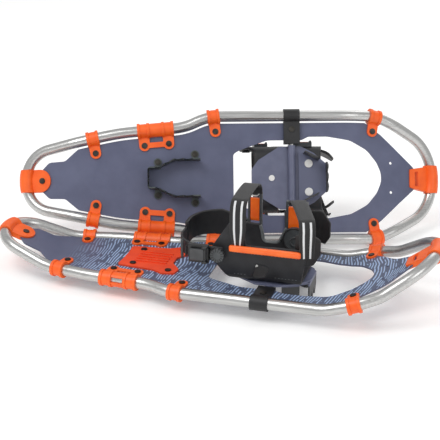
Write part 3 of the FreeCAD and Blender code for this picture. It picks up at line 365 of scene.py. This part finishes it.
def addPiece(name, side, body, points, faces, materials, bands=None, uvs=None,
             smooth=True):
    # bands gives each face its material; the left shoe is mirrored, so its faces are turned
    mesh = bpy.data.meshes.new(side + "_" + name)
    if side == "left":
        faces = [face[::-1] for face in faces]
    mesh.from_pydata([places[side] @ Vector(point) for point in points], [], faces)
    for material in materials:
        mesh.materials.append(finishes[material])
    for index, face in enumerate(mesh.polygons):
        face.use_smooth = smooth
        if bands:
            face.material_index = bands[index]
    if uvs:
        layer = mesh.uv_layers.new(name="UVMap")
        for loop in mesh.loops:
            layer.data[loop.index].uv = uvs[loop.vertex_index]
    piece = bpy.data.objects.new(side + "_" + name, mesh)
    bpy.context.scene.collection.objects.link(piece)
    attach(piece, side + "_" + body)
    return piece


def skinThrough(sections):
    # closed skin through rings that have the same number of points
    count = len(sections[0])
    points = [point for ring in sections for point in ring]
    faces = []
    for station in range(len(sections) - 1):
        for index in range(count):
            low, high = station * count, (station + 1) * count
            following = (index + 1) % count
            faces.append((low + index, low + following, high + following, high + index))
    faces.append(tuple(reversed(range(count))))
    faces.append(tuple(range((len(sections) - 1) * count, len(sections) * count)))
    return points, faces


def tubeAlong(name, side, body, line, radii, material, around=14):
    # round bar along a line, with a radius for each of its points
    rings = []
    lift = Vector((0, 0, 1))
    for index, point in enumerate(line):
        ahead = line[min(index + 1, len(line) - 1)] - line[max(index - 1, 0)]
        ahead.normalize()
        sideways = ahead.cross(lift if abs(ahead.z) < 0.9 else Vector((1, 0, 0))).normalized()
        upward = ahead.cross(sideways)
        rings.append([point + (sideways * math.cos(turn) + upward * math.sin(turn)) * radii[index]
                      for turn in (2 * math.pi * number / around for number in range(around))])
    points, faces = skinThrough(rings)
    return addPiece(name, side, body, points, [face[::-1] for face in faces], [material])


def mouldedCopy(name, side, node, body, look):
    # the solid with its edges rounded over, as moulded rubber and plastic have them
    source = nodes[side + "_" + node]
    piece = bpy.data.objects.new(side + "_" + name, source.data.copy())
    bpy.context.scene.collection.objects.link(piece)
    remesh = piece.modifiers.new("skin", "REMESH")
    remesh.mode = "VOXEL"
    remesh.voxel_size = look["voxel"] * mm
    remesh.use_smooth_shade = True
    soften = piece.modifiers.new("soften", "SMOOTH")
    soften.factor = 0.5
    soften.iterations = look["softening"]
    graph = bpy.context.evaluated_depsgraph_get()
    mesh = bpy.data.meshes.new_from_object(piece.evaluated_get(graph))
    piece.modifiers.clear()
    piece.data = mesh
    mesh.materials.clear()
    mesh.materials.append(finishes[look["finish"]])
    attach(piece, side + "_" + body)
    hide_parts(side + "_" + node)
    return piece


strapLooks = {
    "instep": {"near": (-40, 62), "far": (-44, 106), "rise": 130, "foot": 0.62,
               "stripesTo": 70},
    "toe": {"near": (54, 62), "far": (16, 94), "rise": 110, "foot": 0.86, "stripesTo": 50},
}
strapSection = {"width": 22, "thick": 2.0, "edgeThin": 0.35, "crown": 3, "wallNear": -53.5,
                "wallFar": 49.5, "footLength": 34, "rounding": 4,
                "shares": (-1, -0.94, -0.57, -0.31, 0, 0.31, 0.57, 0.94, 1),
                "stripes": (2, 5), "shoulder": 0.4, "farLean": 0.6,
                # share of the way across, lean, height, and whether that is from the top
                "path": ((0, -1.2, 15, False), (0, -1.5, 34, False), (0, -1.2, -9, True),
                         (0.07, 0, 0.8, True), (0.2, 0, 0.9, True), (0.5, 0, 0.6, True),
                         (0.86, 0, -3, True))}


def strapLine(look, section):
    # up the outer wall, flat over the boot, and down to the buckle on the inner wall
    start = Vector((look["near"][0], section["wallNear"], look["near"][1]))
    end = Vector((look["far"][0], section["wallFar"], look["far"][1]))
    span = Vector((end.x - start.x, end.y - start.y, 0))
    line = [start]
    for share, lean, height, fromTop in section["path"]:
        level = look["rise"] + height if fromTop else start.z + height
        line.append(Vector((start.x + span.x * share, start.y + span.y * share + lean, level)))
    shoulder = end.z + section["shoulder"] * (look["rise"] - end.z)
    line += [Vector((end.x, end.y + section["farLean"], shoulder)), end]
    return softCorners(line, section["rounding"]), Vector((span.y, -span.x, 0)).normalized()


def buildStrap(side, which):
    # flat webbing gathered where it is held at the pull bar; two woven stripes run up its outside
    look, section = strapLooks[which], strapSection
    line, across = strapLine(look, section)
    half, shares = section["width"] / 2, section["shares"]
    rings, uvs, bands, travelled = [], [], [], 0
    for index, point in enumerate(line):
        ahead = (line[min(index + 1, len(line) - 1)] - line[max(index - 1, 0)]).normalized()
        outward = across.cross(ahead).normalized()
        if index:
            travelled += (point - line[index - 1]).length
        gather = min(travelled / section["footLength"], 1)
        narrow = look["foot"] + (1 - look["foot"]) * gather * gather * (3 - 2 * gather)
        ring = []
        for layer, order in ((1, shares), (-1, shares[::-1])):
            for share in order:
                thick = section["thick"] / 2 * (1 if abs(share) < 1 else section["edgeThin"])
                crown = section["crown"] * (1 - share * share) * (1 - narrow)
                ring.append(point + across * (share * half * narrow)
                            + outward * (layer * thick + crown))
                uvs.append((share * half, travelled))
        rings.append(ring)
        if index < len(line) - 1:
            striped = section["stripes"] if travelled < look["stripesTo"] else ()
            bands += [1 if strip in striped else 0 for strip in range(len(ring))]
    points, faces = skinThrough(rings)
    strap = addPiece(which + "_webbing", side, "binding", points, faces,
                     ["blackWebbing", "whiteYarn"], bands + [0, 0], uvs)
    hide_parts(side + "_" + which + "_strap")


# Moulded pieces take the place of the plain solids.
mouldedLooks = {
    "harness_shell": {"node": "harness", "body": "binding", "voxel": 1.1, "softening": 5,
                      "finish": "charcoalRubber", "slot": "charcoal_rubber"},
    "toe_caps": {"node": "toe_guards", "body": "binding", "voxel": 0.9, "softening": 6,
                 "finish": "blackRubber", "slot": "black_rubber"},
    "pull_handle": {"node": "pull_bar", "body": "binding", "voxel": 0.7, "softening": 4,
                    "finish": "orangeGrip", "slot": "orange_grip"},
    "instep_cam": {"node": "instep_lever", "body": "instep_lever", "voxel": 0.5, "softening": 4,
                   "finish": "orangeGrip", "slot": "orange_grip"},
    "toe_cam": {"node": "toe_lever", "body": "toe_lever", "voxel": 0.6, "softening": 4,
                "finish": "orangeGrip", "slot": "orange_grip"},
    "heel_band": {"node": "heel_cup", "body": "heel_loop", "voxel": 0.9, "softening": 6,
                  "finish": "blackRubber", "slot": "black_rubber"},
    "heel_tail": {"node": "heel_strap", "body": "heel_loop", "voxel": 0.6, "softening": 3,
                  "finish": "charcoalRubber", "slot": "charcoal_rubber"},
    "ratchet_block": {"node": "ratchet_base", "body": "heel_loop", "voxel": 0.6, "softening": 3,
                      "finish": "blackPlastic", "slot": "black_plastic"},
    "ratchet_flap": {"node": "ratchet_lever", "body": "ratchet_lever", "voxel": 0.5,
                     "softening": 3, "finish": "leverGrey", "slot": "lever_grey"},
}
for side in sides:
    for which in strapLooks:
        buildStrap(side, which)
    for name, look in mouldedLooks.items():
        mouldedCopy(name, side, look["node"], look["body"], look)
print("straps, shells, levers and heel loops made")


rimLook = {"y": 47.5, "radius": 2.3,
           "line": ((-34, -2.2, 61), (-31.5, -0.6, 50), (-30, 0, 36.5), (-19, 0, 35.5),
                    (-8, 0, 36.5), (-3, -0.6, 47), (3, -2, 60))}


def buildGapRim(side):
    # raised light rim round the low gap in the inner wall, which leans in above its floor
    look = rimLook
    line = softCorners([(x, look["y"] + lean, z) for x, lean, z in look["line"]], 4)
    tubeAlong("gap_rim", side, "binding", line, [look["radius"]] * len(line), "rimGrey")


ringLooks = {
    "keeper_ring": {"body": "binding", "centre": (16, 41.2, 43), "across": (1, 0, 0),
                    "size": (6.2, 6.2), "bead": 1.5, "finish": "leverGrey",
                    "slot": "buckle_grey", "steps": 28},
    "keeper_lip": {"body": "binding", "centre": (16, 41.6, 46), "across": (1, 0, 0),
                   "size": (16.2, 16.2), "bead": 1.1, "finish": "blackPlastic",
                   "slot": "buckle_grey", "steps": 48},
    # the instep loop is painted white as a highlight: its white colour stands in for light
    # glinting on the ring, not the ring's own colour
    "instep_loop_painted_highlight": {"body": "binding", "centre": (-44, 53.4, 107), "across": (1, 0, 0),
                    "size": (6.5, 5.5), "bead": 1.5, "finish": "washerWhiteAndPaintedHighlight",
                    "slot": "buckle_grey", "steps": 28},
    "tail_slider": {"body": "heel_loop", "centre": (-118, -52.5, 56), "across": (0.35, -0.94, 0),
                    "size": (3.4, 13), "bead": 1.9, "finish": "leverGrey",
                    "slot": "lever_grey", "steps": 28},
}
beadSides = 10


def buildRing(name, side, look):
    # closed ring of round bead that stands upright, on its own direction across
    centre, across, up = Vector(look["centre"]), Vector(look["across"]), Vector((0, 0, 1))
    normal = across.cross(up)
    points, faces = [], []
    for step in range(look["steps"]):
        turn = 2 * math.pi * step / look["steps"]
        out = (across * (math.cos(turn) * look["size"][0])
               + up * (math.sin(turn) * look["size"][1]))
        outward = out.normalized()
        for number in range(beadSides):
            roll = 2 * math.pi * number / beadSides
            points.append(centre + out + outward * (math.cos(roll) * look["bead"])
                          + normal * (math.sin(roll) * look["bead"]))
    for step in range(look["steps"]):
        for number in range(beadSides):
            low, high = step * beadSides, ((step + 1) % look["steps"]) * beadSides
            following = (number + 1) % beadSides
            faces.append((low + number, high + number, high + following, low + following))
    addPiece(name, side, look["body"], points, faces, [look["finish"]])


harnessSide = {"half": 51, "bend": 43, "top": 102, "topLean": 7, "foot": 17, "footLean": 5}


def harnessOuter(z):
    # half-width of the harness at a height: it leans in towards its top and its sole
    look = harnessSide
    if z > look["bend"]:
        return look["half"] - (z - look["bend"]) * look["topLean"] / (look["top"] - look["bend"])
    return look["half"] - (look["bend"] - z) * look["footLean"] / (look["bend"] - look["foot"])


stitchLook = {"rows": (57.5, 26.0), "first": -46, "pitch": 4.7, "count": 19, "uneven": 0.2,
              "length": 2.8, "half": 0.5, "thick": 0.45, "sunk": 0.25, "windowSpan": (-28, 8)}


def buildStitches(side):
    # rows of thread along the outer wall's edges; the low row stops at the wall's window
    look = stitchLook
    random.seed(7)
    for row, z in enumerate(look["rows"]):
        points, faces = [], []
        y = -(harnessOuter(z) + 0.1)
        for number in range(look["count"]):
            x = look["first"] + number * look["pitch"]
            x += random.uniform(-look["uneven"], look["uneven"])
            if row and look["windowSpan"][0] < x < look["windowSpan"][1]:
                continue
            low = len(points)
            for dx, dz in ((-1, 0), (0, 1), (1, 0), (0, -1)):
                points.append((x + dx * look["length"] / 2, y + look["sunk"],
                               z + dz * look["half"]))
            points.append((x, y - look["thick"], z))
            for index in range(4):
                faces.append((low + index, low + (index + 1) % 4, low + 4))
        addPiece("stitch_row_%d" % (row + 1), side, "binding", points, faces, ["rimGrey"])


knobLook = {"x": -66, "z": 56, "radius": 9.5, "ridges": 14, "y": 64.7, "inner": 5.2, "proud": 0.35,
            "back": 4.6, "front": 0.5, "innerHalf": 0.7, "outerHalf": 1.1, "taper": 0.55}
boxFaces = ((0, 1, 3, 2), (4, 6, 7, 5), (0, 2, 6, 4), (1, 5, 7, 3), (2, 3, 7, 6), (0, 4, 5, 1))


def buildKnobRidges(side):
    # finger ridges round the cap of each heel pivot
    look = knobLook
    centre = Vector((look["x"], 0, look["z"]))
    for hand, name in ((1, "inner"), (-1, "outer")):
        points, faces = [], []
        for number in range(look["ridges"]):
            turn = 2 * math.pi * number / look["ridges"]
            out = Vector((math.cos(turn), 0, math.sin(turn)))
            along = Vector((-math.sin(turn), 0, math.cos(turn)))
            low = len(points)
            for reach, wide in ((look["inner"], look["innerHalf"]),
                                (look["radius"] + look["proud"], look["outerHalf"])):
                for y, shrink in ((look["y"] - look["back"], 1),
                                  (look["y"] + look["front"], look["taper"])):
                    for way in (-1, 1):
                        point = centre + out * reach + along * (wide * way * shrink)
                        points.append((point.x, hand * y, point.z))
            for face in boxFaces:
                face = face if hand > 0 else face[::-1]
                faces.append(tuple(low + corner for corner in face))
        addPiece("knob_ridges_" + name, side, "binding", points, faces, ["blackPlastic"],
                 smooth=False)


ladderLook = {"teeth": 11, "pitch": 3.4, "start": -112, "half": 7.5, "y": -58.6, "z": 56,
              "profile": ((0, 0), (2.4, 0), (2.0, -1.2), (1.2, -1.2))}
toothFaces = ((0, 2, 3, 1), (2, 4, 5, 3), (4, 6, 7, 5), (6, 0, 1, 7), (0, 6, 4, 2), (1, 3, 5, 7))


def buildLadder(side):
    # ratchet teeth moulded on the outer face of the heel strap's tail
    look = ladderLook
    points, faces = [], []
    for number in range(look["teeth"]):
        x = look["start"] + number * look["pitch"]
        low = len(points)
        for dx, dy in look["profile"]:
            points += [(x + dx, look["y"] + dy, look["z"] - look["half"]),
                       (x + dx, look["y"] + dy, look["z"] + look["half"])]
        faces += [tuple(low + corner for corner in face) for face in toothFaces]
    addPiece("ladder_teeth", side, "heel_loop", points, faces, ["blackPlastic"],
             smooth=False)


gripLooks = {
    "instep": {"x": -44, "width": 9, "tip": 96},
    "toe": {"x": 16, "width": 18, "tip": 87},
}
gripRib = {"ribs": 5, "pitch": 3.2, "radius": 0.7, "endRadius": 0.3, "y": 57.5, "crown": 0.2,
           "around": 8}


def buildGripRibs(side):
    # raised bars near the tips of the two cams
    rib = gripRib
    for which, look in gripLooks.items():
        for number in range(rib["ribs"]):
            z = look["tip"] - number * rib["pitch"]
            line = [Vector((look["x"] - look["width"] / 2, rib["y"], z)),
                    Vector((look["x"], rib["y"] + rib["crown"], z)),
                    Vector((look["x"] + look["width"] / 2, rib["y"], z))]
            tubeAlong("%s_cam_rib_%d" % (which, number + 1), side, which + "_lever", line,
                      [rib["endRadius"], rib["radius"], rib["endRadius"]], "orangeGrip",
                      rib["around"])


for side in sides:
    buildGapRim(side)
    for name, look in ringLooks.items():
        buildRing(name, side, look)
    buildStitches(side)
    buildKnobRidges(side)
    buildLadder(side)
    buildGripRibs(side)
print("rims, rings, stitches, ridges and ribs made")

# Plain pale floor, soft studio light and the camera.
stageLook = {"floor": (0.92, 0.92, 0.915), "floorGlow": 0.22, "floorRough": 0.9,
             "sky": (1, 1, 1), "skyLight": 0.62, "floorHalf": 6}
floorMesh = bpy.data.meshes.new("floor")
reach = stageLook["floorHalf"]
floorMesh.from_pydata([(-reach, -reach, 0), (reach, -reach, 0), (reach, reach, 0),
                       (-reach, reach, 0)], [], [(0, 1, 2, 3)])
floor = bpy.data.objects.new("floor", floorMesh)
bpy.context.scene.collection.objects.link(floor)
floorFinish, floorTree, floorShader = startFinish("paleFloor")
floorShader.inputs["Base Color"].default_value = (*stageLook["floor"], 1)
floorShader.inputs["Roughness"].default_value = stageLook["floorRough"]
floorShader.inputs["Emission Color"].default_value = (*stageLook["floor"], 1)
floorShader.inputs["Emission Strength"].default_value = stageLook["floorGlow"]
floorMesh.materials.append(floorFinish)

world = bpy.data.worlds.new("studio")
world.use_nodes = True
world.node_tree.nodes["Background"].inputs["Color"].default_value = (*stageLook["sky"], 1)
world.node_tree.nodes["Background"].inputs["Strength"].default_value = stageLook["skyLight"]
bpy.context.scene.world = world

bpy.context.scene.view_settings.view_transform = "Standard"
lightLooks = {
    "key": {"place": (-0.9, -1.3, 2.2), "size": 1.3, "power": 26},
    "fill": {"place": (1.7, -1.4, 1.3), "size": 1.2, "power": 8},
    "back": {"place": (0.3, 1.9, 1.7), "size": 1.4, "power": 10},
}
for name, look in lightLooks.items():
    lamp = bpy.data.lights.new(name, "AREA")
    lamp.size = look["size"]
    lamp.energy = look["power"]
    lampObject = bpy.data.objects.new(name, lamp)
    lampObject.location = look["place"]
    lampObject.rotation_euler = (-Vector(look["place"])).to_track_quat("-Z", "Y").to_euler()
    bpy.context.scene.collection.objects.link(lampObject)

cameraLook = {"azimuth": 15.85, "elevation": 21.83, "distance": 1.975, "lens": 110.2,
              "fromPivot": (-0.1134, 0.1182), "height": 0.0500}
pivot = Vector(joints["right_binding_pivot"]["pos_m"])
target = Vector((pivot.x + cameraLook["fromPivot"][0], pivot.y + cameraLook["fromPivot"][1],
                 cameraLook["height"]))
azimuth, elevation = math.radians(cameraLook["azimuth"]), math.radians(cameraLook["elevation"])
backward = Vector((math.sin(azimuth) * math.cos(elevation),
                   -math.cos(azimuth) * math.cos(elevation), math.sin(elevation)))
cameraData = bpy.data.cameras.new("camera")
cameraData.lens = cameraLook["lens"]
camera = bpy.data.objects.new("camera", cameraData)
camera.location = target + backward * cameraLook["distance"]
camera.rotation_euler = (-backward).to_track_quat("-Z", "Y").to_euler()
bpy.context.scene.collection.objects.link(camera)
bpy.context.scene.camera = camera
print("stage, lights and camera set")
